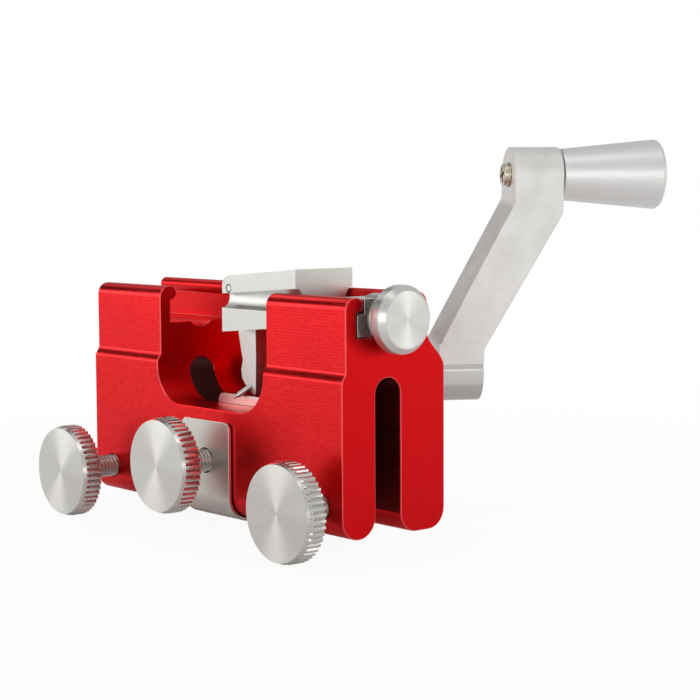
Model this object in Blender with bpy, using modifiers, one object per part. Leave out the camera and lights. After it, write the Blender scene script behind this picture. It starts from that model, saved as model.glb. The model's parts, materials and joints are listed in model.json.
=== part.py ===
"""Hand-cranked saw-chain sharpening jig: X along the body, Y to the back, Z up, origin in the bar slot."""
import math

import bmesh
import bpy
from mathutils import Matrix, Vector

for old in list(bpy.data.objects):
    bpy.data.objects.remove(old, do_unlink=True)

MM = 0.001
CLEAR = 0.3
JAW_POINT = (0.0, 4.0, 15.0)

# Extruded body, as an end profile in Y and Z
BODY_LENGTH = 108.0
FRONT_FACE = -14.5
FRONT_UPPER = -13.3
BACK_FACE = 18.4
BACK_UPPER = 12.8
SLOT_HALF = 4.0
SLOT_TOP = 38.4
FRONT_TOP = 58.0
BACK_TOP = 58.8
LIP_RADIUS = 3.0
BEAD_RADIUS = 1.8
BEAD_CENTRE = 9.6
GROOVE_HALF = 9.85
CHANNEL_FLOOR = 48.3
SCREW_TROUGH = 3.2
TROUGH_ANGLE = 53.0
FRONT_STEP = (37.6, 40.4)
BACK_STEP = (40.0, 48.9)
BACK_FOOT_RADIUS = 5.0

# Cutting window, open at the top
WINDOW_HALF = 23.3
WINDOW_FLOOR = 27.4
WINDOW_RADIUS = 10.0
WINDOW_BACK = 7.0

# Thumb screws through the front leg, the outer two set in from the body's ends
CLAMP_FROM_END = 8.2
CLAMP_Z = 7.5
CHAIN_Z = 14.0
STUD_RADIUS = 3.0
STUD_LENGTH = 19.0
STUD_POINT = 0.6
STUD_IN_KNOB = 3.2
KNOB_RADIUS = 12.3
KNOB_THICK = 5.3
KNOB_BEVEL = 0.6
KNOB_BEVEL_DEEP = 1.8
KNURL_TEETH = 48
KNURL_DEPTH = 0.5
LEFT_KNOB_BACK = -25.9
CHAIN_KNOB_BACK = -25.6
RIGHT_KNOB_BACK = -22.7

# Sprung clip round the front leg
CLIP_HALF = 10.3
CLIP_THICK = 0.9
CLIP_OUTER_TOP = 24.5
CLIP_INNER_TOP = 30.0
CLIP_CORNER = 2.0

# Carriage: heights over the channel's floor, over the back lip and over its own plate
CARRIAGE_LEFT = -0.4
CARRIAGE_LENGTH = 30.6
BLOCK_SIDE_GAP = 0.45
BLOCK_HIGH = 4.6
NECK_SIDE_GAP = 0.9
NECK_FLARE = 1.5
PLATE_HALF = 9.0
PLATE_GAP = 0.3
PLATE_THICK = 2.45
PLATE_RISE = 2.4
PLATE_NOSE = 2.4
SKIRT_FRONT = -9.3
SKIRT_DROP = 2.2
BLOCK_SAG = 1.6
SAG_LENGTH = 17.9

# Pawl, hung from a pin through the carriage
PIN_FROM_LEFT = 2.8
PIN_UNDER_PLATE = 0.8
PIN_RADIUS = 0.9
PIN_BACK = 5.5
PAWL_HALF = 2.1
PAWL_EYE = 2.0
PAWL_DROP = 28.1
PAWL_WIDE = 7.5
PAWL_SIDE_GAP = 0.4
PEG_RADIUS = 0.75
PEG_REACH = (-2.4, -4.5, -3.4)

# Adjuster in the channel's right end
ADJUST_HIGH = 4.3
ADJUST_RADIUS = 2.5
ADJUST_IN_CARRIAGE = 8.2
RING_IN_CARRIAGE = 4.9
RING_THICK = 1.2
RING_RADIUS = 4.0
END_BLOCK_LENGTH = 10.0
END_BOSS_RADIUS = 6.0
END_BOSS_OUT = 0.6
ADJUST_KNOB_GAP = 2.4
ADJUST_KNOB_THICK = 4.2
ADJUST_KNOB_RADIUS = 8.3
ADJUST_KNOB_BEVEL = 1.35

# Grinding rod and crank, measured along the rod's axis from the slot's middle
ROD_X = -8.0
ROD_Z = 33.7
ROD_ANGLE = 30.0
ROD_RADIUS = 2.4
ROD_TIP = 9.5
ROD_END = 61.7
SLEEVE_START = 15.0
SLEEVE_END = 46.0
SLEEVE_RADIUS = 4.5
SLEEVE_NOSE = 1.6
COLLAR_START = 41.0
COLLAR_RADIUS = 6.0
HUB_START = 54.0
HUB_END = 66.5
HUB_REACH = 9.8
HUB_BACK_REACH = 7.5
HUB_BARREL_TOP = 3.6
HUB_FLAT_TOP = 10.5
HUB_FLAT_DEEP = 0.25
ARM_HALF = 7.4
ARM_EASE = 0.9
ARM_ROUND = 0.8
CRANK_RADIUS = 53.8
CRANK_TILT = 5.3
BOSS_REACH = 7.8
BOSS_BACK_REACH = 10.5
BOSS_START = 73.8
BOSS_END = 87.2
BOLT_RADIUS = 3.0
BOLT_START = 72.0
BOLT_HEAD = 108.0
BOLT_HEAD_RADIUS = 5.0
BOLT_HEAD_THICK = 3.5
WASHER_RADIUS = 5.0
WASHER_THICK = 0.8
HANDLE_GAP = 0.35
HANDLE_END = 115.3
HANDLE_SMALL = 6.9
HANDLE_LARGE = 9.4
HANDLE_EDGE = 1.2
SET_SCREW_AT = 60.0
SET_SCREW_RADIUS = 2.0

model = bpy.data.collections.new("chain_sharpener")
bpy.context.scene.collection.children.link(model)
cutters = bpy.data.collections.new("cutters")
bpy.context.scene.collection.children.link(cutters)
cutters.hide_render = True


def arc(centre_a, centre_b, radius, start, end, steps):
    """Points of an arc in degrees, both ends included."""
    points = []
    for step in range(steps + 1):
        angle = math.radians(start + (end - start) * step / steps)
        points.append((centre_a + radius * math.cos(angle), centre_b + radius * math.sin(angle)))
    return points


def s_curve(start, end, steps):
    """Points between two ends of an S-shaped step that leaves and arrives along the second axis."""
    points = []
    for step in range(1, steps):
        share = step / steps
        ease = (1 - math.cos(math.pi * share)) / 2
        points.append((start[0] + (end[0] - start[0]) * ease, start[1] + (end[1] - start[1]) * share))
    return points


def place(obj, collection, colour, metallic, roughness):
    collection.objects.link(obj)
    if collection is cutters:
        obj.hide_render = True
        obj.display_type = "WIRE"
        return
    material = bpy.data.materials.new(obj.name)
    material.use_nodes = True
    shader = material.node_tree.nodes["Principled BSDF"]
    shader.inputs["Base Color"].default_value = (*colour, 1.0)
    shader.inputs["Metallic"].default_value = metallic
    shader.inputs["Roughness"].default_value = roughness
    obj.data.materials.append(material)


def prism(name, outline, across, low, high, origin, collection=cutters, colour=(0.8, 0.8, 0.8),
          metallic=1.0, roughness=0.35, frame=None):
    """A closed outline, in mm, pushed out along one axis of the frame."""
    mesh = bpy.data.meshes.new(name)
    shape = bmesh.new()
    ends = []
    for level in (low, high):
        ring = []
        for first, second in outline:
            point = {"x": (level, first, second), "y": (first, level, second)}[across]
            world = Vector(point) if frame is None else frame @ Vector(point)
            ring.append(shape.verts.new((world - Vector(origin)) * MM))
        ends.append(ring)
    shape.faces.new(ends[0])
    shape.faces.new(ends[1])
    for index in range(len(outline)):
        after = (index + 1) % len(outline)
        shape.faces.new((ends[0][index], ends[0][after], ends[1][after], ends[1][index]))
    bmesh.ops.recalc_face_normals(shape, faces=shape.faces)
    shape.to_mesh(mesh)
    shape.free()
    obj = bpy.data.objects.new(name, mesh)
    obj.location = Vector(origin) * MM
    place(obj, collection, colour, metallic, roughness)
    return obj


def turned(name, profile, origin, axis, steps=48, collection=cutters, colour=(0.8, 0.8, 0.8),
           metallic=1.0, roughness=0.3):
    """A profile of radius and length, in mm, swept round the axis by a Screw."""
    mesh = bpy.data.meshes.new(name)
    points = [(radius * MM, 0.0, along * MM) for radius, along in profile]
    edges = [(index, index + 1) for index in range(len(points) - 1)]
    if profile[0][0] > 0:
        edges.append((len(points) - 1, 0))
    mesh.from_pydata(points, edges, [])
    obj = bpy.data.objects.new(name, mesh)
    turn = Vector((0, 0, 1)).rotation_difference(Vector(axis).normalized())
    obj.matrix_world = Matrix.Translation(Vector(origin) * MM) @ turn.to_matrix().to_4x4()
    screw = obj.modifiers.new("sweep", "SCREW")
    screw.axis = "Z"
    screw.steps = steps
    screw.render_steps = steps
    screw.use_merge_vertices = True
    screw.merge_threshold = 0.00001
    screw.use_normal_flip = True
    place(obj, collection, colour, metallic, roughness)
    return obj


def rod(radius, start, end):
    """The profile of a plain round bar."""
    return [(0, start), (radius, start), (radius, end), (0, end)]


def ring(inner, outer, start, end):
    return [(inner, start), (outer, start), (outer, end), (inner, end)]


def boolean(target, other, operation="DIFFERENCE"):
    change = target.modifiers.new(other.name, "BOOLEAN")
    change.operation = operation
    change.solver = "EXACT"
    change.object = other


def box(name, low, high):
    outline = [(low[0], low[2]), (high[0], low[2]), (high[0], high[2]), (low[0], high[2])]
    return prism(name, outline, "y", low[1], high[1], (0, 0, 0))


RED = (0.55, 0.01, 0.015)
SILVER = (0.72, 0.72, 0.70)
STEEL = (0.60, 0.59, 0.57)
TO_BACK = (0, 1, 0)
TO_RIGHT = (1, 0, 0)
ROD_WAY = (math.sin(math.radians(ROD_ANGLE)), math.cos(math.radians(ROD_ANGLE)), 0)

# Body
front_middle = (FRONT_FACE - SLOT_HALF) / 2
front_radius = (-SLOT_HALF - FRONT_FACE) / 2
profile = arc(front_middle, front_radius, front_radius, 0, -180, 14)
profile += [(FRONT_FACE, FRONT_STEP[0])]
profile += s_curve((FRONT_FACE, FRONT_STEP[0]), (FRONT_UPPER, FRONT_STEP[1]), 5)
profile += [(FRONT_UPPER, FRONT_STEP[1])]
profile += arc(FRONT_UPPER + LIP_RADIUS, FRONT_TOP - LIP_RADIUS, LIP_RADIUS, 180, 90, 6)
profile += arc(-BEAD_CENTRE, FRONT_TOP - BEAD_RADIUS, BEAD_RADIUS, 90, -80, 9)
profile += [(-GROOVE_HALF, FRONT_TOP - 2 * BEAD_RADIUS), (-GROOVE_HALF, CHANNEL_FLOOR)]
trough_radius = SCREW_TROUGH / math.sin(math.radians(TROUGH_ANGLE))
trough_middle = CHANNEL_FLOOR + trough_radius * math.cos(math.radians(TROUGH_ANGLE))
profile += arc(0, trough_middle, trough_radius, 270 - TROUGH_ANGLE, 270 + TROUGH_ANGLE, 10)
profile += [(GROOVE_HALF, CHANNEL_FLOOR), (GROOVE_HALF, BACK_TOP - 2 * BEAD_RADIUS)]
profile += arc(BEAD_CENTRE, BACK_TOP - BEAD_RADIUS, BEAD_RADIUS, 260, 90, 9)
profile += arc(BACK_UPPER - LIP_RADIUS, BACK_TOP - LIP_RADIUS, LIP_RADIUS, 90, 0, 6)
profile += [(BACK_UPPER, BACK_STEP[1])]
profile += s_curve((BACK_UPPER, BACK_STEP[1]), (BACK_FACE, BACK_STEP[0]), 9)
profile += [(BACK_FACE, BACK_STEP[0])]
profile += arc(BACK_FACE - BACK_FOOT_RADIUS, BACK_FOOT_RADIUS, BACK_FOOT_RADIUS, 0, -90, 7)
profile += arc(SLOT_HALF + BACK_FOOT_RADIUS, BACK_FOOT_RADIUS, BACK_FOOT_RADIUS, -90, -180, 7)
profile += arc(0, SLOT_TOP - SLOT_HALF, SLOT_HALF, 0, 180, 12)
body = prism("body", profile, "x", -BODY_LENGTH / 2, BODY_LENGTH / 2, (0, 0, 0), model, RED, 0.9, 0.3)

end_x = BODY_LENGTH / 2
clamp_x = end_x - CLAMP_FROM_END
window = [(-WINDOW_HALF, BACK_TOP * 1.3)]
window += arc(-WINDOW_HALF + WINDOW_RADIUS, WINDOW_FLOOR + WINDOW_RADIUS, WINDOW_RADIUS, 180, 270, 8)
window += arc(WINDOW_HALF - WINDOW_RADIUS, WINDOW_FLOOR + WINDOW_RADIUS, WINDOW_RADIUS, 270, 360, 8)
window += [(WINDOW_HALF, BACK_TOP * 1.3)]
boolean(body, prism("cut_window", window, "y", FRONT_FACE * 2, WINDOW_BACK, (0, 0, 0)))
for side, x, z in (("left", -clamp_x, CLAMP_Z), ("right", clamp_x, CLAMP_Z), ("chain", 0.0, CHAIN_Z)):
    across_leg = rod(STUD_RADIUS + CLEAR, FRONT_FACE * 1.4, -SLOT_HALF * 0.25)
    boolean(body, turned("cut_" + side + "_hole", across_leg, (x, 0, z), TO_BACK, 32))
across_back = rod(SLEEVE_RADIUS + CLEAR, SLOT_HALF * 1.25, BACK_FACE * 1.9)
boolean(body, turned("cut_rod_bore", across_back, (ROD_X, 0, ROD_Z), ROD_WAY, 40))

# Clip: one strip bent round the front leg
near = front_radius + CLEAR
far = near + CLIP_THICK
strip = [(front_middle - far, CLIP_OUTER_TOP)]
strip += arc(front_middle, front_radius, far, 180, 360, 16)
strip += [(front_middle + far, CLIP_INNER_TOP), (front_middle + near, CLIP_INNER_TOP)]
strip += arc(front_middle, front_radius, near, 360, 180, 16)
strip += [(front_middle - near, CLIP_OUTER_TOP)]
clip = prism("chain_clip", strip, "x", -CLIP_HALF, CLIP_HALF, (0, 0, 0), model, STEEL, 1.0, 0.25)
clip_hole = rod(STUD_RADIUS + CLEAR, front_middle - far * 2, front_middle)
boolean(clip, turned("cut_clip_hole", clip_hole, (0, 0, CHAIN_Z), TO_BACK, 32))
for leaf, top, low, high in (("outer", CLIP_OUTER_TOP, front_middle - far * 2, front_middle),
                             ("inner", CLIP_INNER_TOP, front_middle, front_middle + far * 2)):
    wide = CLIP_HALF - CLIP_CORNER
    above = [(-CLIP_HALF * 1.2, top - CLIP_CORNER)]
    above += arc(-wide, top - CLIP_CORNER, CLIP_CORNER, 180, 90, 6)
    above += arc(wide, top - CLIP_CORNER, CLIP_CORNER, 90, 0, 6)
    above += [(CLIP_HALF * 1.2, top - CLIP_CORNER), (CLIP_HALF * 1.2, top * 1.1), (-CLIP_HALF * 1.2, top * 1.1)]
    boolean(clip, prism("cut_" + leaf + "_corners", above, "y", low, high, (0, 0, 0)))

# Three thumb screws, each a stud and a knurled head
knob_profile = [(0, 0), (KNOB_RADIUS - KNOB_BEVEL, 0), (KNOB_RADIUS, KNOB_BEVEL_DEEP), (KNOB_RADIUS, KNOB_THICK),
                (STUD_RADIUS + CLEAR, KNOB_THICK), (STUD_RADIUS + CLEAR, KNOB_THICK - STUD_IN_KNOB - CLEAR),
                (0, KNOB_THICK - STUD_IN_KNOB - CLEAR)]
stud_profile = [(0, -STUD_IN_KNOB), (STUD_RADIUS, -STUD_IN_KNOB), (STUD_RADIUS, STUD_LENGTH - STUD_POINT),
                (STUD_RADIUS - STUD_POINT, STUD_LENGTH), (0, STUD_LENGTH)]
for name, x, z, back in (("left_clamp", -clamp_x, CLAMP_Z, LEFT_KNOB_BACK),
                         ("right_clamp", clamp_x, CLAMP_Z, RIGHT_KNOB_BACK),
                         ("chain", 0.0, CHAIN_Z, CHAIN_KNOB_BACK)):
    turned(name + "_screw", stud_profile, (x, back, z), TO_BACK, 32, model, STEEL)
    knob = turned(name + "_knob", knob_profile, (x, back - KNOB_THICK, z), TO_BACK, 2 * KNURL_TEETH, model, SILVER)
    notches = []
    for step in range(2 * KNURL_TEETH):
        reach = KNOB_RADIUS + (KNURL_DEPTH if step % 2 else -KNURL_DEPTH)
        angle = math.pi * (step + 0.5) / KNURL_TEETH
        notches.append((x + reach * math.cos(angle), z + reach * math.sin(angle)))
    knurl = prism("trim_" + name + "_knurl", notches, "y", back - KNOB_THICK * 2, back + KNOB_THICK, (0, 0, 0))
    boolean(knob, knurl, "INTERSECT")

# Carriage in the channel
carriage_right = CARRIAGE_LEFT + CARRIAGE_LENGTH
block_half = GROOVE_HALF - BLOCK_SIDE_GAP
block_bottom = CHANNEL_FLOOR + CLEAR
block_top = block_bottom + BLOCK_HIGH
neck_half = BEAD_CENTRE - BEAD_RADIUS - NECK_SIDE_GAP
plate_under = BACK_TOP + PLATE_GAP
plate_top = plate_under + PLATE_THICK
adjust_z = CHANNEL_FLOOR + ADJUST_HIGH
section = [(-block_half, block_bottom), (block_half, block_bottom), (block_half, block_top)]
waist = []
for flare, share in ((1.0, 0.03), (0.4, 0.14), (0.0, 0.36), (0.0, 0.66), (0.4, 0.88), (0.87, 1.0)):
    waist.append((neck_half + NECK_FLARE * flare, block_top + (plate_under - block_top) * share))
section += waist
section += [(PLATE_HALF, plate_under), (PLATE_HALF, plate_top + 2 * PLATE_RISE)]
section += [(-PLATE_HALF, plate_top + 2 * PLATE_RISE), (-PLATE_HALF, plate_under)]
section += [(-y, z) for y, z in reversed(waist)]
section += [(-block_half, block_top)]
carriage = prism("carriage", section, "x", CARRIAGE_LEFT, carriage_right, (0, 0, adjust_z), model,
                 SILVER, 1.0, 0.35)
sag_end = CARRIAGE_LEFT + SAG_LENGTH
sag = [(CARRIAGE_LEFT, block_bottom - BLOCK_SAG), (sag_end, block_bottom), (sag_end, block_bottom + BLOCK_HIGH / 2),
       (CARRIAGE_LEFT, block_bottom + BLOCK_HIGH / 2)]
boolean(carriage, prism("add_sag", sag, "y", -block_half, WINDOW_BACK - 2 * CLEAR, (0, 0, 0)), "UNION")
skirt_in = plate_top + PLATE_RISE * 1.9
skirt = [(CARRIAGE_LEFT, plate_under - SKIRT_DROP), (carriage_right, plate_under + PLATE_THICK * 0.02),
         (carriage_right, skirt_in), (CARRIAGE_LEFT, skirt_in)]
boolean(carriage, prism("add_skirt", skirt, "y", SKIRT_FRONT, -neck_half * 0.87, (0, 0, 0)), "UNION")
crown = [(CARRIAGE_LEFT - 2 * PLATE_NOSE, plate_top - PLATE_THICK * 1.08)]
for along, share in ((-0.02, 0.96), (0.167, 0.47), (0.54, 0.18), (1.0, 0.0)):
    crown.append((CARRIAGE_LEFT + PLATE_NOSE * along, plate_top - PLATE_THICK * share))
past_right = carriage_right + (CARRIAGE_LENGTH - PLATE_NOSE) * 0.2
crown += [(past_right, plate_top + PLATE_RISE * 1.2), (past_right, plate_top + 4 * PLATE_RISE)]
crown += [(CARRIAGE_LEFT - 2 * PLATE_NOSE, plate_top + 4 * PLATE_RISE)]
boolean(carriage, prism("cut_crown", crown, "y", -PLATE_HALF * 1.6, PLATE_HALF * 1.6, (0, 0, 0)))

pin_x = CARRIAGE_LEFT + PIN_FROM_LEFT
pin_z = plate_under - PIN_UNDER_PLATE
slot_half = PAWL_HALF + PAWL_SIDE_GAP
slot_low = (CARRIAGE_LEFT - PAWL_EYE * 2, -slot_half, block_bottom * 0.8)
boolean(carriage, box("cut_pawl_slot", slot_low, (pin_x + PAWL_EYE * 1.4, slot_half, pin_z + PAWL_EYE * 1.2)))
adjust_start = carriage_right - ADJUST_IN_CARRIAGE
bore = rod(ADJUST_RADIUS + CLEAR, adjust_start - CLEAR, carriage_right + ADJUST_IN_CARRIAGE)
boolean(carriage, turned("cut_adjust_bore", bore, (0, 0, adjust_z), TO_RIGHT, 32))
ring_x = carriage_right - RING_IN_CARRIAGE
ring_low = (ring_x - CLEAR, -RING_RADIUS - CLEAR, block_bottom * 0.8)
ring_high = (ring_x + RING_THICK + CLEAR, RING_RADIUS + CLEAR, adjust_z + RING_RADIUS + CLEAR)
boolean(carriage, box("cut_ring_slot", ring_low, ring_high))
pin_hole = rod(PIN_RADIUS + CLEAR * 0.8, SKIRT_FRONT * 1.3, PIN_BACK + CLEAR)
boolean(carriage, turned("cut_pin_hole", pin_hole, (pin_x, 0, pin_z), TO_BACK, 24))

# Pawl on its pin: a curved finger with a pointed peg that reaches forward over the clip
finger = arc(pin_x, pin_z, PAWL_EYE, 0, 180, 10)
for wide, share in ((-0.48, 0.117), (-0.64, 0.224), (-0.747, 0.434), (-0.587, 0.609), (-0.507, 0.683),
                    (-0.613, 0.772), (-0.56, 0.858), (-0.28, 0.936), (0.067, 0.996), (0.16, 1.0),
                    (0.213, 0.982), (0.253, 0.669), (0.24, 0.42)):
    finger.append((pin_x + PAWL_WIDE * wide, pin_z - PAWL_DROP * share))
pawl = prism("pawl", finger, "y", -PAWL_HALF, PAWL_HALF, (pin_x, 0, pin_z), model, STEEL, 1.0, 0.35)
peg_root = (pin_x - PAWL_WIDE * 0.067, -PAWL_HALF * 0.7, pin_z - PAWL_DROP * 0.911)
peg_length = Vector(PEG_REACH).length
peg = [(0, 0), (PEG_RADIUS, 0), (PEG_RADIUS, peg_length * 0.7), (PEG_RADIUS * 0.2, peg_length), (0, peg_length)]
boolean(pawl, turned("add_pawl_peg", peg, peg_root, PEG_REACH, 20), "UNION")
pawl_hole = rod(PIN_RADIUS + CLEAR * 0.8, -PAWL_HALF * 2, PAWL_HALF * 2)
boolean(pawl, turned("cut_pawl_hole", pawl_hole, (pin_x, 0, pin_z), TO_BACK, 24))
turned("pawl_pin", rod(PIN_RADIUS, SKIRT_FRONT, PIN_BACK), (pin_x, 0, pin_z), TO_BACK, 24, model, STEEL)

# Adjuster: end block, screw, retaining ring and knob
plug_half = GROOVE_HALF - CLEAR
plug_neck = BEAD_CENTRE - BEAD_RADIUS - CLEAR * 5 / 3
bead_under = FRONT_TOP - 2 * BEAD_RADIUS
plug = [(-plug_half, block_bottom), (plug_half, block_bottom), (plug_half, bead_under - CLEAR * 8 / 3),
        (plug_neck, bead_under - CLEAR * 5 / 3), (plug_neck, FRONT_TOP - CLEAR * 4 / 3),
        (-plug_neck, FRONT_TOP - CLEAR * 4 / 3), (-plug_neck, bead_under - CLEAR * 5 / 3),
        (-plug_half, bead_under - CLEAR * 8 / 3)]
end_block = prism("end_block", plug, "x", end_x - END_BLOCK_LENGTH, end_x, (0, 0, 0), model, SILVER, 1.0, 0.35)
boss_end = end_x + END_BOSS_OUT
boss = turned("add_end_boss", rod(END_BOSS_RADIUS, end_x - END_BLOCK_LENGTH / 2, boss_end), (0, 0, adjust_z),
              TO_RIGHT, 40)
boolean(end_block, boss, "UNION")
foot_low = (end_x - END_BLOCK_LENGTH * 1.4, -GROOVE_HALF, block_bottom * 0.8)
boolean(end_block, box("cut_boss_foot", foot_low, (boss_end + END_BLOCK_LENGTH, GROOVE_HALF, block_bottom)))
through = rod(ADJUST_RADIUS + CLEAR, end_x - END_BLOCK_LENGTH * 1.4, boss_end + END_BLOCK_LENGTH)
boolean(end_block, turned("cut_end_bore", through, (0, 0, adjust_z), TO_RIGHT, 32))
cap_back = boss_end + ADJUST_KNOB_GAP
cap_front = cap_back + ADJUST_KNOB_THICK
adjust_end = cap_back + ADJUST_KNOB_THICK * 0.44
turned("adjuster_screw", rod(ADJUST_RADIUS, adjust_start, adjust_end), (0, 0, adjust_z), TO_RIGHT, 32, model, STEEL)
collar = ring(ADJUST_RADIUS + CLEAR * 2 / 3, RING_RADIUS, ring_x, ring_x + RING_THICK)
turned("retaining_ring", collar, (0, 0, adjust_z), TO_RIGHT, 32, model, STEEL)
cap = [(0, adjust_end + CLEAR), (ADJUST_RADIUS + CLEAR, adjust_end + CLEAR), (ADJUST_RADIUS + CLEAR, cap_back),
       (ADJUST_KNOB_RADIUS - CLEAR, cap_back), (ADJUST_KNOB_RADIUS, cap_back + CLEAR),
       (ADJUST_KNOB_RADIUS, cap_front - ADJUST_KNOB_BEVEL), (ADJUST_KNOB_RADIUS - ADJUST_KNOB_BEVEL, cap_front),
       (0, cap_front)]
turned("adjuster_knob", cap, (0, 0, adjust_z), TO_RIGHT, 56, model, SILVER)

# Sliding sleeve with a bevelled nose, and grinding rod
rod_origin = (ROD_X, 0, ROD_Z)
sleeve = [(ROD_RADIUS + CLEAR, SLEEVE_START), (SLEEVE_RADIUS - SLEEVE_NOSE, SLEEVE_START),
          (SLEEVE_RADIUS, SLEEVE_START + SLEEVE_NOSE), (SLEEVE_RADIUS, COLLAR_START), (COLLAR_RADIUS, COLLAR_START),
          (COLLAR_RADIUS, SLEEVE_END), (ROD_RADIUS + CLEAR, SLEEVE_END)]
turned("guide_sleeve", sleeve, rod_origin, ROD_WAY, 40, model, STEEL)
turned("grinding_rod", rod(ROD_RADIUS, ROD_TIP, ROD_END), rod_origin, ROD_WAY, 32, model, STEEL)

# Crank: a side outline trimmed to a rounded bar, its hub turned below and faced on both sides, bored
# for the rod and the handle bolt. At rest it leans a little to the right
turn = Matrix.Rotation(-math.radians(ROD_ANGLE), 4, "Z") @ Matrix.Rotation(math.radians(CRANK_TILT), 4, "Y")
crank_frame = Matrix.Translation(Vector(rod_origin)) @ turn
arm_way = turn @ Vector((0, 0, 1))
past_end = CRANK_RADIUS + ARM_HALF * 2
side_outline = [(BOSS_START, past_end), (BOSS_END, past_end), (BOSS_END, CRANK_RADIUS - BOSS_BACK_REACH + ARM_EASE),
                (BOSS_END - ARM_EASE, CRANK_RADIUS - BOSS_BACK_REACH - ARM_EASE),
                (HUB_END + ARM_EASE, HUB_BACK_REACH + ARM_EASE * 2), (HUB_END, HUB_BACK_REACH),
                (HUB_END, -ARM_HALF * 2), (HUB_START, -ARM_HALF * 2), (HUB_START, HUB_REACH - ARM_EASE),
                (HUB_START + ARM_EASE, HUB_REACH + ARM_EASE),
                (BOSS_START - ARM_EASE, CRANK_RADIUS - BOSS_REACH - ARM_EASE),
                (BOSS_START, CRANK_RADIUS - BOSS_REACH + ARM_EASE)]
crank_arm = prism("crank_arm", side_outline, "x", -ARM_HALF * 1.13, ARM_HALF * 1.13, rod_origin, model, SILVER, 1.0,
                  0.4, crank_frame)
barrel_angle = math.degrees(math.asin(HUB_BARREL_TOP / ARM_HALF))
stadium = arc(0, CRANK_RADIUS, ARM_HALF, 0, 180, 18) + [(-ARM_HALF, HUB_BARREL_TOP)]
stadium += arc(0, 0, ARM_HALF, 180 - barrel_angle, 360 + barrel_angle, 24) + [(ARM_HALF, HUB_BARREL_TOP)]
trim = prism("trim_crank", stadium, "y", HUB_START * 0.75, BOSS_END * 1.12, rod_origin, frame=crank_frame)
boolean(crank_arm, trim, "INTERSECT")
rounded = crank_arm.modifiers.new("rounded edges", "BEVEL")
rounded.width = ARM_ROUND * MM
rounded.segments = 2
rounded.angle_limit = math.radians(28)
hub_middle = (HUB_START + HUB_END) / 2
hub_wide = HUB_END - HUB_START
facing = arc(hub_middle, HUB_FLAT_TOP - hub_wide * 1.4, hub_wide * 1.4, 115, 65, 10)
facing += [(hub_middle + hub_wide, -ARM_HALF * 2), (hub_middle - hub_wide, -ARM_HALF * 2)]
for side, low, high in (("left", -ARM_HALF * 1.3, HUB_FLAT_DEEP - ARM_HALF),
                        ("right", ARM_HALF - HUB_FLAT_DEEP, ARM_HALF * 1.3)):
    flat = prism("cut_" + side + "_hub_flat", facing, "x", low, high, rod_origin, frame=crank_frame)
    boolean(crank_arm, flat)
socket = rod(ROD_RADIUS + CLEAR, HUB_START * 0.9, ROD_END + CLEAR)
boolean(crank_arm, turned("cut_rod_socket", socket, rod_origin, ROD_WAY, 32))
bolt_origin = crank_frame @ Vector((0, 0, CRANK_RADIUS))
bolt_hole = rod(BOLT_RADIUS + CLEAR, BOSS_START * 0.93, BOSS_END * 1.07)
boolean(crank_arm, turned("cut_bolt_hole", bolt_hole, bolt_origin, ROD_WAY, 32))
screw_at = crank_frame @ Vector((0, SET_SCREW_AT, 0))
set_hole = rod(SET_SCREW_RADIUS + CLEAR, -ARM_HALF * 1.6, -ROD_RADIUS * 0.2)
boolean(crank_arm, turned("cut_set_hole", set_hole, screw_at, arm_way, 24))
set_screw = rod(SET_SCREW_RADIUS, -ARM_HALF + CLEAR * 2, -ROD_RADIUS - CLEAR)
turned("rod_set_screw", set_screw, screw_at, arm_way, 24, model, STEEL)

# Handle turning on a bolt through the boss, with a washer in the mouth of its bore
bolt = [(0, BOLT_START), (BOLT_RADIUS, BOLT_START), (BOLT_RADIUS, BOLT_HEAD), (BOLT_HEAD_RADIUS, BOLT_HEAD),
        (BOLT_HEAD_RADIUS, BOLT_HEAD + BOLT_HEAD_THICK), (0, BOLT_HEAD + BOLT_HEAD_THICK)]
turned("handle_bolt", bolt, bolt_origin, ROD_WAY, 32, model, STEEL)
washer_start = BOSS_END + CLEAR * 2 / 3
washer_end = washer_start + WASHER_THICK
washer = ring(BOLT_RADIUS + CLEAR, WASHER_RADIUS, washer_start, washer_end)
turned("handle_washer", washer, bolt_origin, ROD_WAY, 40, model, STEEL)
handle_start = BOSS_END + HANDLE_GAP
well = BOLT_HEAD_RADIUS + CLEAR * 2
grip = [(BOLT_RADIUS + CLEAR, washer_end + CLEAR), (WASHER_RADIUS + CLEAR, washer_end + CLEAR),
        (WASHER_RADIUS + CLEAR, handle_start), (HANDLE_SMALL - HANDLE_EDGE / 3, handle_start),
        (HANDLE_SMALL, handle_start + HANDLE_EDGE / 3), (HANDLE_LARGE, HANDLE_END - HANDLE_EDGE),
        (HANDLE_LARGE - HANDLE_EDGE / 4, HANDLE_END - HANDLE_EDGE / 3), (HANDLE_LARGE - HANDLE_EDGE, HANDLE_END),
        (well, HANDLE_END), (well, BOLT_HEAD - CLEAR), (BOLT_RADIUS + CLEAR, BOLT_HEAD - CLEAR)]
turned("handle_grip", grip, bolt_origin, ROD_WAY, 56, model, SILVER)

# The frame's origin goes to the middle of the jaw face that the guide bar is clamped against
for piece in list(model.objects) + list(cutters.objects):
    piece.location -= Vector(JAW_POINT) * MM
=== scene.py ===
"""Looks of a hand-cranked saw-chain sharpening jig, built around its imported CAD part."""
import json
import math

import bpy
from mathutils import Matrix, Vector


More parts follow.
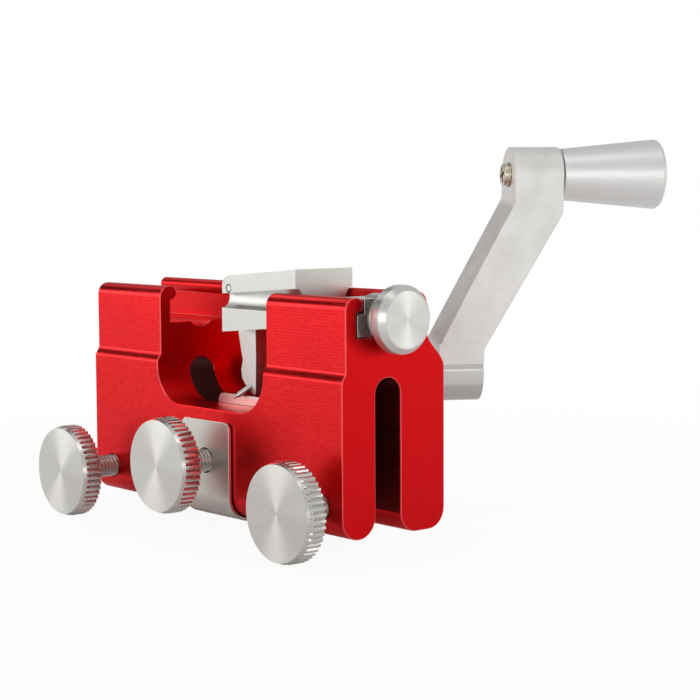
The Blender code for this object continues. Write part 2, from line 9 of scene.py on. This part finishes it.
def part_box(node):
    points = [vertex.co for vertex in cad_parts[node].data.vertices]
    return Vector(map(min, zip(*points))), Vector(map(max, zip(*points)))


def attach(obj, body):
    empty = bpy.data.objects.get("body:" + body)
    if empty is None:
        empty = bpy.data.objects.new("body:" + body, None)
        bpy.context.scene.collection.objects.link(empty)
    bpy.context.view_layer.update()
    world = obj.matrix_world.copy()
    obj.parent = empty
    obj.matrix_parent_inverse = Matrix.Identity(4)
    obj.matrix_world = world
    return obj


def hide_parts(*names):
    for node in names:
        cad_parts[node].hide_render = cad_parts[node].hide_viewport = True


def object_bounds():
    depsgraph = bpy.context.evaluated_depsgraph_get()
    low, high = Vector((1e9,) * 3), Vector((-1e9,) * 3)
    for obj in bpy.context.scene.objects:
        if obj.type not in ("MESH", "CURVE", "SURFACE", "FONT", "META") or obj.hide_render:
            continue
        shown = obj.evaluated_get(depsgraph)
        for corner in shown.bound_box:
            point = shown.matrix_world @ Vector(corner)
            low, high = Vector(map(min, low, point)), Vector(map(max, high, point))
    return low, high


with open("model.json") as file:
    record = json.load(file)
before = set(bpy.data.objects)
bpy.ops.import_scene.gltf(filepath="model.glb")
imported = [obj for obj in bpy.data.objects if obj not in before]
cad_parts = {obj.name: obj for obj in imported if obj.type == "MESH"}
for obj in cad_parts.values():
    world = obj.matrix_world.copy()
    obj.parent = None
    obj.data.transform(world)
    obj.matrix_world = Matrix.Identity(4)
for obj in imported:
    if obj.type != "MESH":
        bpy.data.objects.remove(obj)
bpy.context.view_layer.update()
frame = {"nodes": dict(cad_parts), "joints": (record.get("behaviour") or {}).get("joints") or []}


# Body: a sawn length of aluminium extrusion, milled for the window, then dyed red. The die leaves fine
# lines along its length and the cut faces are plainer. The slot's sides are painted dark as shade, and the
# broken edges are pale from wear and lighter still as a painted highlight.
# A welded copy of the CAD solid, with the edges of its ends and window broken, stands for it.
mm = 0.001


def even_shading(piece):
    """Smooths the round stretches of the active piece and keeps its flat faces flat."""
    bpy.ops.object.shade_smooth_by_angle(angle=math.radians(38))
    flat = piece.modifiers.new("flat faces stay flat", "WEIGHTED_NORMAL")
    flat.keep_sharp = True
    bpy.ops.object.modifier_apply(modifier=flat.name)


def stand_in(node, name, body, finishes, edge, segments=2, angle=28.0):
    """A welded copy of a CAD node, riding on its body in its place. Its edges are broken unless edge is 0."""
    bpy.ops.object.select_all(action="DESELECT")
    piece = bpy.data.objects.new(name, frame["nodes"][node].data.copy())
    piece.data.name = name
    piece.data.materials.clear()
    bpy.context.scene.collection.objects.link(piece)
    piece.select_set(True)
    bpy.context.view_layer.objects.active = piece
    bpy.ops.object.mode_set(mode="EDIT")
    bpy.ops.mesh.select_all(action="SELECT")
    bpy.ops.mesh.remove_doubles(threshold=0.002 * mm)
    bpy.ops.mesh.dissolve_limited(angle_limit=math.radians(0.4))
    bpy.ops.object.mode_set(mode="OBJECT")
    if edge:
        broken = piece.modifiers.new("broken edges", "BEVEL")
        broken.width = edge
        broken.segments = segments
        broken.limit_method = "ANGLE"
        broken.angle_limit = math.radians(angle)
        bpy.ops.object.modifier_apply(modifier=broken.name)
    even_shading(piece)
    for finish in finishes:
        piece.data.materials.append(finish)
    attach(piece, body)
    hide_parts(node)
    return piece


def finish_of(name, colour, roughness):
    """A new metal finish, its nodes, its links and its Principled shader."""
    material = bpy.data.materials.new(name)
    material.use_nodes = True
    shader = material.node_tree.nodes["Principled BSDF"]
    shader.inputs["Base Color"].default_value = (*colour, 1.0)
    shader.inputs["Roughness"].default_value = roughness
    shader.inputs["Metallic"].default_value = 1.0
    return material, material.node_tree.nodes, material.node_tree.links, shader


def streaks(nodes, links, stretch=(1.0, 1.0, 1.0), scale=1.0, detail=3.0):
    """Noise on Object coordinates, drawn out along the axes that have a small stretch."""
    place = nodes.new("ShaderNodeTexCoord")
    mapping = nodes.new("ShaderNodeMapping")
    mapping.inputs["Scale"].default_value = stretch
    noise = nodes.new("ShaderNodeTexNoise")
    noise.inputs["Scale"].default_value = scale
    noise.inputs["Detail"].default_value = detail
    links.new(place.outputs["Object"], mapping.inputs["Vector"])
    links.new(mapping.outputs["Vector"], noise.inputs["Vector"])
    return noise


def spread(nodes, links, source, low, high, socket):
    """Feeds a socket with the middle stretch of a 0 to 1 value, drawn out from low to high."""
    span = nodes.new("ShaderNodeMapRange")
    span.inputs["From Min"].default_value = 0.3
    span.inputs["From Max"].default_value = 0.7
    span.inputs["To Min"].default_value = low
    span.inputs["To Max"].default_value = high
    links.new(source, span.inputs["Value"])
    links.new(span.outputs["Result"], socket)


def relief(nodes, links, source, shader, depth):
    """Bump of a real depth, in metres, from a 0 to 1 height."""
    bump = nodes.new("ShaderNodeBump")
    bump.inputs["Strength"].default_value = 1.0
    bump.inputs["Distance"].default_value = depth
    links.new(source, bump.inputs["Height"])
    links.new(bump.outputs["Normal"], shader.inputs["Normal"])


def two_tone(nodes, links, source, dark, light, shader):
    """A base colour that runs from dark to light with a 0 to 1 value."""
    tint = nodes.new("ShaderNodeMix")
    tint.data_type = "RGBA"
    tint.inputs["A"].default_value = (*dark, 1.0)
    tint.inputs["B"].default_value = (*light, 1.0)
    spread(nodes, links, source, 0.0, 1.0, tint.inputs["Factor"])
    links.new(tint.outputs["Result"], shader.inputs["Base Color"])


def grained(name, colour, roughness, least, most, depth=0.0, **grain_shape):
    """A metal finish with one grain: its roughness runs from least to most, and its relief is so deep."""
    material, nodes, links, shader = finish_of(name, colour, roughness)
    grain = streaks(nodes, links, **grain_shape)
    spread(nodes, links, grain.outputs["Fac"], least, most, shader.inputs["Roughness"])
    if depth:
        relief(nodes, links, grain.outputs["Fac"], shader, depth)
    return material


red_dye, nodes, links, shader = finish_of("red anodised drawn sides", (0.75, 0.012, 0.016), 0.32)
shader.inputs["Coat Weight"].default_value = 0.1
shader.inputs["Coat Roughness"].default_value = 0.28
shader.inputs["Specular Tint"].default_value = (1.0, 0.65, 0.65, 1.0)
place = nodes.new("ShaderNodeTexCoord")
die_lines = nodes.new("ShaderNodeTexWave")
die_lines.bands_direction = "Z"
line_pitch = 0.75 * mm
# At a scale of 1 the wave texture's bands are this far apart.
bands_apart = 2 * math.pi / 20
die_lines.inputs["Scale"].default_value = bands_apart / line_pitch
die_lines.inputs["Distortion"].default_value = 2.2
die_lines.inputs["Detail"].default_value = 2.0
die_lines.inputs["Detail Scale"].default_value = 1.5
links.new(place.outputs["Object"], die_lines.inputs["Vector"])
dashes = streaks(nodes, links, stretch=(450.0, 450.0, 1500.0), detail=2.0)
drawn = nodes.new("ShaderNodeMix")
drawn.inputs["Factor"].default_value = 0.75
links.new(die_lines.outputs["Fac"], drawn.inputs["A"])
links.new(dashes.outputs["Fac"], drawn.inputs["B"])
relief(nodes, links, drawn.outputs["Result"], shader, 0.016 * mm)
cloud = streaks(nodes, links, scale=60.0, detail=2.0)
spread(nodes, links, cloud.outputs["Fac"], 0.28, 0.36, shader.inputs["Roughness"])
two_tone(nodes, links, drawn.outputs["Result"], (0.70, 0.010, 0.014), (0.85, 0.020, 0.024), shader)

red_cut = grained("red anodised cut faces", (0.66, 0.007, 0.010), roughness=0.4, least=0.36, most=0.44,
                  depth=0.004 * mm, stretch=(300.0, 700.0, 700.0))
# Worn edges: pale as bare wear, and lightened and pinked further as a painted highlight along the edge.
red_edge_wear_and_highlight = grained("red anodised worn edges and painted highlight", (0.92, 0.10, 0.10), roughness=0.3, least=0.26, most=0.36,
                   scale=700.0)
# Painted shade: the slot's sides get a dark, dull red for the shade inside the narrow slot, though the dye
# there is the same.
red_slot_painted_shade = grained("red anodised slot sides painted shade", (0.20, 0.016, 0.018), roughness=0.5, least=0.45, most=0.6,
                     stretch=(30.0, 900.0, 900.0))

body = stand_in("body", "red_body", "body", (red_dye, red_cut, red_edge_wear_and_highlight, red_slot_painted_shade), edge=0)
low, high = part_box("body")
edge_width = 0.28 * mm
holes_share = 0.3
over_holes = low.z + holes_share * (high.z - low.z)
bpy.ops.object.mode_set(mode="EDIT")
bpy.ops.mesh.customdata_custom_splitnormals_clear()
bpy.ops.mesh.select_mode(type="EDGE")
bpy.ops.mesh.select_all(action="DESELECT")
bpy.ops.mesh.edges_select_sharp(sharpness=math.radians(40))
bpy.ops.object.mode_set(mode="OBJECT")
for line in body.data.edges:
    middle = (body.data.vertices[line.vertices[0]].co + body.data.vertices[line.vertices[1]].co) / 2
    at_end = min(middle.x - low.x, high.x - middle.x) < edge_width
    at_window = middle.y < 0 and middle.z > over_holes
    line.select = line.select and (at_end or at_window)
bpy.ops.object.mode_set(mode="EDIT")
bpy.ops.mesh.bevel(offset=edge_width, segments=2, affect="EDGES", clamp_overlap=False)
bpy.ops.object.mode_set(mode="OBJECT")
even_shading(body)

drawn_side, cut_face, worn_and_highlit_edge, shaded_slot_side = range(4)
slot_front = -8.0 * mm
slot_top = 24.0 * mm
behind_slot = 0.5 * mm
touch = 0.05 * mm
end_reach = 0.3 * mm
narrow_limit = 0.26 * mm
# How much of a face's normal lies along an axis.
slightly = 0.2
mostly = 0.9
squarely = 0.97
for face in body.data.polygons:
    corners = [body.data.vertices[corner].co for corner in face.vertices]
    narrow = min((a - b).length for a, b in zip(corners, corners[1:] + corners[:1])) < narrow_limit
    at_end = min(face.center.x - low.x, high.x - face.center.x) < end_reach
    # Narrow faces at the ends and the window are the broken edges: pale from wear, and lighter still as a
    # painted highlight.
    broken = narrow and abs(face.normal.x) < squarely and (at_end or abs(face.normal.y) > slightly)
    window_back = face.normal.y < -mostly and face.center.y > behind_slot
    # Faces inside the slot get the dark finish of painted shade.
    in_shaded_slot = slot_front - touch < face.center.y < touch and face.center.z < slot_top
    if abs(face.normal.x) > slightly or window_back:
        face.material_index = worn_and_highlit_edge if broken else cut_face
    else:
        face.material_index = shaded_slot_side if in_shaded_slot else drawn_side


# Clip: a strip of bright rolled spring steel bent round the front leg, with a hole for the middle
# screw. Its rolling lines run round the bend.
bright_strip = grained("bright rolled steel", (0.68, 0.665, 0.62), roughness=0.34, least=0.32, most=0.37,
                       depth=0.0004 * mm, stretch=(2500.0, 60.0, 60.0))
stand_in("chain_clip", "bright_clip", "body", (bright_strip,), edge=0.15 * mm)


# Thumb screws: three alike, each a turned head with a straight cut knurl and a bevel in front, on a
# rolled M6 stud. The head's front is faced on the lathe, so it glints in two fans.
def lathe_steel(name, axis, centre, colour, roughness):
    """Turned steel: fine rings round the axis and a highlight drawn out by them."""
    material, nodes, links, shader = finish_of(name, colour, roughness)
    place = nodes.new("ShaderNodeTexCoord")
    mapping = nodes.new("ShaderNodeMapping")
    mapping.inputs["Location"].default_value = [-c for c in centre]
    links.new(place.outputs["Object"], mapping.inputs["Vector"])
    flatten = nodes.new("ShaderNodeVectorMath")
    flatten.operation = "MULTIPLY"
    flatten.inputs[1].default_value = (0.0 if axis == "X" else 1.0, 0.0 if axis == "Y" else 1.0, 1.0)
    links.new(mapping.outputs["Vector"], flatten.inputs[0])
    out_from_axis = nodes.new("ShaderNodeVectorMath")
    out_from_axis.operation = "LENGTH"
    links.new(flatten.outputs["Vector"], out_from_axis.inputs[0])
    tool_marks = nodes.new("ShaderNodeTexNoise")
    tool_marks.noise_dimensions = "1D"
    tool_marks.inputs["Scale"].default_value = 9000.0
    tool_marks.inputs["Detail"].default_value = 3.0
    links.new(out_from_axis.outputs["Value"], tool_marks.inputs["W"])
    relief(nodes, links, tool_marks.outputs["Fac"], shader, 0.0004 * mm)
    least = roughness - 0.02
    most = roughness + 0.02
    spread(nodes, links, tool_marks.outputs["Fac"], least, most, shader.inputs["Roughness"])
    round_axis = nodes.new("ShaderNodeTangent")
    round_axis.direction_type = "RADIAL"
    round_axis.axis = axis
    links.new(round_axis.outputs["Tangent"], shader.inputs["Tangent"])
    shader.inputs["Anisotropic"].default_value = 0.85
    shader.inputs["Anisotropic Rotation"].default_value = 0.25
    return material


def settle(piece, name, turn, place, material, body, node, smooth_under=32.0):
    """Puts a modelled piece in its place, for good, on a body and instead of a CAD node."""
    piece.name = name
    piece.data.name = name
    piece.matrix_world = Matrix.Translation(place) @ turn
    bpy.ops.object.select_all(action="DESELECT")
    piece.select_set(True)
    bpy.context.view_layer.objects.active = piece
    bpy.ops.object.transform_apply(location=True, rotation=True, scale=True)
    bpy.ops.object.mode_set(mode="EDIT")
    bpy.ops.mesh.select_all(action="SELECT")
    bpy.ops.mesh.remove_doubles(threshold=0.001 * mm)
    bpy.ops.mesh.normals_make_consistent(inside=False)
    bpy.ops.object.mode_set(mode="OBJECT")
    bpy.ops.object.shade_smooth_by_angle(angle=math.radians(smooth_under))
    piece.data.materials.append(material)
    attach(piece, body)
    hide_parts(node)


def knurled_head(teeth, radius, thick, bevel, bevel_deep, tooth):
    """A disc built up from its front ring by extruding, its rim then drawn in to a root at every tooth."""
    corners_each = 4
    flank = 0.2 * tooth
    bpy.ops.object.select_all(action="DESELECT")
    bpy.ops.mesh.primitive_circle_add(vertices=corners_each * teeth, radius=radius - bevel, fill_type="NGON")
    head = bpy.context.active_object
    bpy.ops.object.mode_set(mode="EDIT")
    bpy.ops.mesh.select_all(action="SELECT")
    rings = ((bevel_deep / 2, radius - bevel / 2), (bevel_deep / 2, radius), (thick - bevel_deep, radius))
    at_radius = radius - bevel
    for step, ring_radius in rings:
        bpy.ops.mesh.extrude_region_move(TRANSFORM_OT_translate={"value": (0, 0, step)})
        share = ring_radius / at_radius
        bpy.ops.transform.resize(value=(share, share, 1.0), center_override=(0, 0, 0))
        at_radius = ring_radius
    bpy.ops.mesh.select_mode(type="VERT")
    for corners_in, draw_in in (((0,), tooth), ((1, 3), flank)):
        bpy.ops.mesh.select_all(action="DESELECT")
        bpy.ops.object.mode_set(mode="OBJECT")
        for corner in head.data.vertices:
            on_rim = math.hypot(corner.co.x, corner.co.y) > radius - 0.01 * mm
            turn = math.atan2(corner.co.y, corner.co.x) / (2 * math.pi) * corners_each * teeth
            corner.select = on_rim and round(turn) % corners_each in corners_in
        bpy.ops.object.mode_set(mode="EDIT")
        root = (radius - draw_in) / radius
        bpy.ops.transform.resize(value=(root, root, 1.0), center_override=(0, 0, 0))
    bpy.ops.object.mode_set(mode="OBJECT")
    return head


def threaded_bar(radius, length, pitch, depth):
    """A V thread swept up a bar by a Screw modifier and closed at both ends, from the origin along Z."""
    crest_start = 0.42 * pitch
    crest_end = 0.58 * pitch
    steps_a_turn = 28
    weld = 0.002 * mm
    bpy.ops.object.select_all(action="DESELECT")
    bpy.ops.mesh.primitive_plane_add(size=pitch)
    bar = bpy.context.active_object
    bpy.ops.object.mode_set(mode="EDIT")
    bpy.ops.mesh.delete(type="ONLY_FACE")
    bpy.ops.mesh.select_all(action="DESELECT")
    bpy.ops.object.mode_set(mode="OBJECT")
    corners = bar.data.vertices
    corners[0].co = (radius - depth, 0, 0)
    corners[1].co = (radius, 0, crest_start)
    corners[3].co = (radius, 0, crest_end)
    corners[2].co = (radius - depth, 0, pitch)
    for edge in bar.data.edges:
        edge.select = set(edge.vertices) == {0, 2}
    bpy.ops.object.mode_set(mode="EDIT")
    bpy.ops.mesh.select_mode(type="EDGE")
    bpy.ops.mesh.delete(type="EDGE")
    bpy.ops.object.mode_set(mode="OBJECT")
    sweep = bar.modifiers.new("thread", "SCREW")
    sweep.axis = "Z"
    sweep.screw_offset = pitch
    sweep.iterations = max(1, round(length / pitch) - 1)
    sweep.steps = steps_a_turn
    sweep.render_steps = steps_a_turn
    sweep.use_merge_vertices = True
    sweep.merge_threshold = weld
    bpy.ops.object.modifier_apply(modifier=sweep.name)
    bpy.ops.object.mode_set(mode="EDIT")
    bpy.ops.mesh.select_all(action="SELECT")
    bpy.ops.mesh.remove_doubles(threshold=weld)
    bpy.ops.mesh.select_all(action="DESELECT")
    bpy.ops.mesh.select_mode(type="EDGE")
    bpy.ops.mesh.select_non_manifold()
    bpy.ops.mesh.edge_face_add()
    bpy.ops.object.mode_set(mode="OBJECT")
    return bar


rolled_thread = grained("rolled steel thread", (0.60, 0.59, 0.56), roughness=0.3, least=0.24, most=0.4,
                        depth=0.004 * mm, scale=900.0)
rim_steel = grained("bright turned rims", (0.66, 0.65, 0.62), roughness=0.24, least=0.2, most=0.3,
                    depth=0.002 * mm, scale=1200.0)


def bright_rim(head, front):
    """Gives a turned head's rim and bevel their own finish, and leaves the faced front as it is."""
    faced_front, rim = range(2)
    head.data.materials.append(rim_steel)
    for face in head.data.polygons:
        face.material_index = faced_front if face.normal.dot(front) > squarely else rim


knob_teeth = 48
knob_bevel = 0.6 * mm
bevel_deep = 1.8 * mm
tooth_depth = 0.65 * mm
stud_pitch = 1.0 * mm
stud_thread_depth = 0.56 * mm
to_back = Matrix.Rotation(-math.pi / 2, 4, "X")
for screw in ("left_clamp", "right_clamp", "chain"):
    low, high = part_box(screw + "_knob")
    middle = (low + high) / 2
    front = Vector((middle.x, low.y, middle.z))
    knob_radius = (high.x - low.x) / 2
    head = knurled_head(knob_teeth, knob_radius, high.y - low.y, knob_bevel, bevel_deep, tooth_depth)
    faced = lathe_steel("faced " + screw + " head", "Y", middle, (0.74, 0.725, 0.685), roughness=0.34)
    head_name = screw + "_knurled_head"
    settle(head, head_name, to_back, front, faced, screw + "_head", screw + "_knob", smooth_under=20.0)
    bright_rim(head, Vector((0, -1, 0)))
    low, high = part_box(screw + "_screw")
    middle = (low + high) / 2
    start = Vector((middle.x, low.y, middle.z))
    stud = threaded_bar((high.x - low.x) / 2, high.y - low.y, stud_pitch, stud_thread_depth)
    settle(stud, screw + "_threaded_stud", to_back, start, rolled_thread, screw + "_stud", screw + "_screw")


# Carriage: a milled aluminium slider with waisted sides that run on the channel's lips, and a
# sloping top plate. It is tumbled to a soft satin.
satin = grained("tumbled aluminium", (0.64, 0.635, 0.60), roughness=0.42, least=0.36, most=0.5,
                depth=0.006 * mm, scale=2600.0)
stand_in("carriage", "satin_carriage", "carriage", (satin,), edge=0.25 * mm)


# Pawl and pin: a ground steel finger that stops the chain's cutter, on a plain steel pin whose end
# shows on the carriage's front.
ground = grained("ground steel", (0.66, 0.65, 0.62), roughness=0.34, least=0.28, most=0.44,
                 depth=0.004 * mm, stretch=(1600.0, 1600.0, 60.0))
stand_in("pawl", "ground_pawl", "pawl", (ground,), edge=0.2 * mm)
stand_in("pawl_pin", "plain_pin", "carriage", (ground,), edge=0.15 * mm)


# Adjuster: a milled block closes the channel's end and carries the thread; the screw runs from the
# carriage through it to a smooth turned knob with a bevelled, faced front.
milled_steel = grained("bright milled steel", (0.60, 0.58, 0.55), roughness=0.32, least=0.26, most=0.4,
                       depth=0.002 * mm, scale=1500.0)
stand_in("end_block", "milled_end_block", "body", (milled_steel,), edge=0.2 * mm)
adjuster_pitch = 0.8 * mm
adjuster_thread_depth = 0.45 * mm
low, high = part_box("adjuster_screw")
middle = (low + high) / 2
to_right = Matrix.Rotation(math.pi / 2, 4, "Y")
start = Vector((low.x, middle.y, middle.z))
adjuster = threaded_bar((high.z - low.z) / 2, high.x - low.x, adjuster_pitch, adjuster_thread_depth)
settle(adjuster, "adjuster_thread", to_right, start, rolled_thread, "adjuster", "adjuster_screw")
low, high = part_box("adjuster_knob")
turned = lathe_steel("turned adjuster knob", "X", (low + high) / 2, (0.70, 0.70, 0.68), roughness=0.36)
stand_in("adjuster_knob", "turned_adjuster_knob", "adjuster", (turned,), 0.25 * mm, segments=3, angle=20.0)
stand_in("retaining_ring", "steel_retaining_ring", "adjuster", (ground,), edge=0.1 * mm)


# Rod and sleeve: a steel rod coated with abrasive grit runs in a turned steel sleeve. The sleeve slides
# in the back leg's bore, and the rod's end is held in the crank's hub.
stand_in("guide_sleeve", "turned_sleeve", "sleeve", (ground,), edge=0.3 * mm)
abrasive = grained("abrasive rod", (0.42, 0.40, 0.37), roughness=0.5, least=0.4, most=0.65,
                   depth=0.02 * mm, scale=5200.0, detail=4.0)
stand_in("grinding_rod", "abrasive_rod", "crank", (abrasive,), edge=0.2 * mm)


# Crank: a cast aluminium arm, bead blasted to an even satin, with a hub for the rod that is turned
# bright, and a set screw under it.
blasted = grained("blasted aluminium", (0.79, 0.785, 0.765), roughness=0.56, least=0.5, most=0.62,
                  depth=0.012 * mm, scale=3200.0, detail=2.0)
nodes = blasted.node_tree.nodes
links = blasted.node_tree.links
cast = streaks(nodes, links, scale=130.0)
cast_dark = (0.74, 0.732, 0.71)
cast_light = (0.84, 0.835, 0.82)
two_tone(nodes, links, cast.outputs["Fac"], cast_dark, cast_light, nodes["Principled BSDF"])
turned_hub = grained("turned aluminium hub", (0.60, 0.59, 0.57), roughness=0.34, least=0.28, most=0.4,
                     stretch=(2200.0, 120.0, 120.0))
arm = stand_in("crank_arm", "blasted_crank_arm", "crank", (blasted, turned_hub), edge=0)
on_arm, on_hub = range(2)
hub_over_rod = 3.7 * mm
rod_joint = next(joint for joint in frame["joints"] if joint["name"] == "crank_turn")
hub_top = rod_joint["pos_m"][2] + hub_over_rod
for face in arm.data.polygons:
    face.material_index = on_hub if face.center.z < hub_top else on_arm
stand_in("rod_set_screw", "plain_set_screw", "crank", (ground,), edge=0.3 * mm)


# Handle: a tapered satin grip turning on a nickelled bolt. The bolt's end, with its cross recess,
# shows on the arm's inner face.
grip_finish = grained("satin turned grip", (0.79, 0.78, 0.765), roughness=0.42, least=0.38, most=0.48,
                      depth=0.005 * mm, scale=2400.0)
stand_in("handle_grip", "satin_grip", "handle", (grip_finish,), edge=0.3 * mm, segments=3)

nickel = grained("nickelled steel", (0.66, 0.60, 0.48), roughness=0.28, least=0.22, most=0.38, scale=1800.0)
bolt = stand_in("handle_bolt", "nickelled_bolt", "crank", (nickel,), edge=0.35 * mm, segments=3)
bolt_joint = next(joint for joint in frame["joints"] if joint["name"] == "handle_spin")
bolt_foot = Vector(bolt_joint["pos_m"])
rod_way = Vector(rod_joint["axis"]).normalized()
bolt_start = min((corner.co - bolt_foot).dot(rod_way) for corner in bolt.data.vertices)
recess_at = bolt_foot + rod_way * bolt_start
recess_turn = Vector((0, 0, 1)).rotation_difference(rod_way).to_matrix().to_4x4()
cutter_long = 4.2 * mm
cutter_wide = 0.9 * mm
cutter_deep = 2.4 * mm
cutter_size = Matrix.Diagonal((cutter_long, cutter_wide, cutter_deep, 1.0))
for half_turns in (0.25, 0.75):
    bpy.ops.object.select_all(action="DESELECT")
    bpy.ops.mesh.primitive_cube_add(size=1.0)
    cutter = bpy.context.active_object
    cutter_turn = Matrix.Rotation(half_turns * math.pi, 4, "Z")
    cutter.matrix_world = Matrix.Translation(recess_at) @ recess_turn @ cutter_turn @ cutter_size
    recess = bolt.modifiers.new("cross recess", "BOOLEAN")
    recess.object = cutter
    recess.solver = "EXACT"
    bpy.context.view_layer.objects.active = bolt
    bpy.ops.object.modifier_apply(modifier=recess.name)
    bpy.data.objects.remove(cutter, do_unlink=True)
stand_in("handle_washer", "plain_washer", "crank", (ground,), edge=0.1 * mm)


# Stage: a pale floor under the knobs and a white surround, both plain, so that only soft shade
# grounds the jig.
floor_gap = 0.5 * mm
object_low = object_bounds()[0]
bpy.ops.object.select_all(action="DESELECT")
bpy.ops.mesh.primitive_plane_add(size=12.0, location=(0, 0, object_low.z - floor_gap))
floor = bpy.context.active_object
floor.name = "floor"
floor_paint = bpy.data.materials.new("white floor")
floor_paint.use_nodes = True
nodes = floor_paint.node_tree.nodes
links = floor_paint.node_tree.links
matt = nodes["Principled BSDF"]
matt.inputs["Base Color"].default_value = (0.86, 0.86, 0.86, 1.0)
matt.inputs["Roughness"].default_value = 0.9
glow = nodes.new("ShaderNodeEmission")
glow.inputs["Strength"].default_value = 1.0
place = nodes.new("ShaderNodeTexCoord")
away = nodes.new("ShaderNodeVectorMath")
away.operation = "LENGTH"
links.new(place.outputs["Object"], away.inputs[0])
# The camera sees the floor nearly white, and bright metal sees it darker close to the jig.
seen = nodes.new("ShaderNodeLightPath")
share = nodes.new("ShaderNodeMath")
share.operation = "ADD"
fade_start = 0.05
fades = (("Is Camera Ray", 0.4, 0.94, 1.0), ("Is Glossy Ray", 0.22, 0.06, 0.46))
for addend, (ray, fade_end, near, far) in zip(share.inputs, fades):
    fade = nodes.new("ShaderNodeMapRange")
    fade.interpolation_type = "SMOOTHSTEP"
    fade.inputs["From Min"].default_value = fade_start
    fade.inputs["From Max"].default_value = fade_end
    fade.inputs["To Min"].default_value = near
    fade.inputs["To Max"].default_value = far
    links.new(away.outputs["Value"], fade.inputs["Value"])
    for_ray = nodes.new("ShaderNodeMath")
    for_ray.operation = "MULTIPLY"
    links.new(seen.outputs[ray], for_ray.inputs[0])
    links.new(fade.outputs["Result"], for_ray.inputs[1])
    links.new(for_ray.outputs["Value"], addend)
blend = nodes.new("ShaderNodeMixShader")
links.new(share.outputs["Value"], blend.inputs["Fac"])
links.new(matt.outputs["BSDF"], blend.inputs[1])
links.new(glow.outputs["Emission"], blend.inputs[2])
links.new(blend.outputs["Shader"], nodes["Material Output"].inputs["Surface"])
floor.data.materials.append(floor_paint)

world = bpy.data.worlds.new("white surround")
bpy.context.scene.world = world
world.use_nodes = True
nodes = world.node_tree.nodes
links = world.node_tree.links
surround = nodes["Background"]
surround.inputs["Color"].default_value = (1.0, 1.0, 1.0, 1.0)
# The camera sees the surround white. As light it is dimmer, and nearly dark to the upper left.
toward = nodes.new("ShaderNodeTexCoord")
dark_side = nodes.new("ShaderNodeVectorMath")
dark_side.operation = "DOT_PRODUCT"
dark_side.inputs[1].default_value = (-0.78, -0.1, 0.62)
links.new(toward.outputs["Generated"], dark_side.inputs[0])
tent = nodes.new("ShaderNodeMapRange")
tent.inputs["From Min"].default_value = 0.8
tent.inputs["From Max"].default_value = 0.93
tent.inputs["To Min"].default_value = 0.65
tent.inputs["To Max"].default_value = 0.05
links.new(dark_side.outputs["Value"], tent.inputs["Value"])
seen = nodes.new("ShaderNodeLightPath")
level = nodes.new("ShaderNodeMapRange")
links.new(tent.outputs["Result"], level.inputs["To Min"])
level.inputs["To Max"].default_value = 1.0
links.new(seen.outputs["Is Camera Ray"], level.inputs["Value"])
links.new(level.outputs["Result"], surround.inputs["Strength"])


# Light: soft boxes to the left front, right and back right, and strips at the left, in front and
# above, as for a product on white.
def soft_box(name, place, aim_height, width, height, watts):
    """A rectangular lamp, aimed at a height over the middle of the part."""
    lamp = bpy.data.lights.new(name, "AREA")
    lamp.shape = "RECTANGLE"
    lamp.size = width
    lamp.size_y = height
    lamp.energy = watts
    box = bpy.data.objects.new(name, lamp)
    bpy.context.scene.collection.objects.link(box)
    box.location = place
    box.rotation_euler = (Vector((0, 0, aim_height)) - Vector(place)).to_track_quat("-Z", "Y").to_euler()


soft_box("left front box", (-0.78, -0.6, 0.21), aim_height=0.02, width=0.6, height=0.24, watts=1.45)
soft_box("left strip", (-0.76, 0.03, 0.65), aim_height=0.02, width=0.4, height=0.14, watts=0.4)
soft_box("right box", (0.95, -0.36, 0.09), aim_height=0.07, width=0.6, height=0.22, watts=0.7)
soft_box("front strip", (0.64, -0.77, 0.16), aim_height=0.03, width=0.3, height=0.4, watts=1.1)
soft_box("back right box", (0.75, 0.63, 0.05), aim_height=0.02, width=0.16, height=0.6, watts=0.7)
soft_box("top strip", (0.1, -0.2, 0.8), aim_height=0.02, width=0.9, height=0.25, watts=0.8)


# Camera: a long lens a little above the jig, from the right front, as in the photograph. Its place
# and focal length were fitted to the body's corners there.
photo_side = 700.0
focal_pixels = 1811.3
camera_place = Vector((379.5, -289.0, 67.65)) * mm
view_turn = math.radians(50.0)
view_drop = math.radians(4.96)
view_roll = math.radians(-0.29)
back = Vector((math.sin(view_turn) * math.cos(view_drop), -math.cos(view_turn) * math.cos(view_drop),
               math.sin(view_drop)))
level_right = Vector((math.cos(view_turn), math.sin(view_turn), 0.0))
level_up = back.cross(level_right)
right = level_right * math.cos(view_roll) + level_up * math.sin(view_roll)
up = level_up * math.cos(view_roll) - level_right * math.sin(view_roll)
lens = bpy.data.cameras.new("camera")
lens.sensor_width = 36.0
lens.lens = lens.sensor_width * focal_pixels / photo_side
lens.clip_start = 0.01
camera = bpy.data.objects.new("camera", lens)
bpy.context.scene.collection.objects.link(camera)
camera.matrix_world = Matrix.Translation(camera_place) @ Matrix((right, up, back)).transposed().to_4x4()
bpy.context.scene.camera = camera
bpy.context.scene.view_settings.view_transform = "Standard"
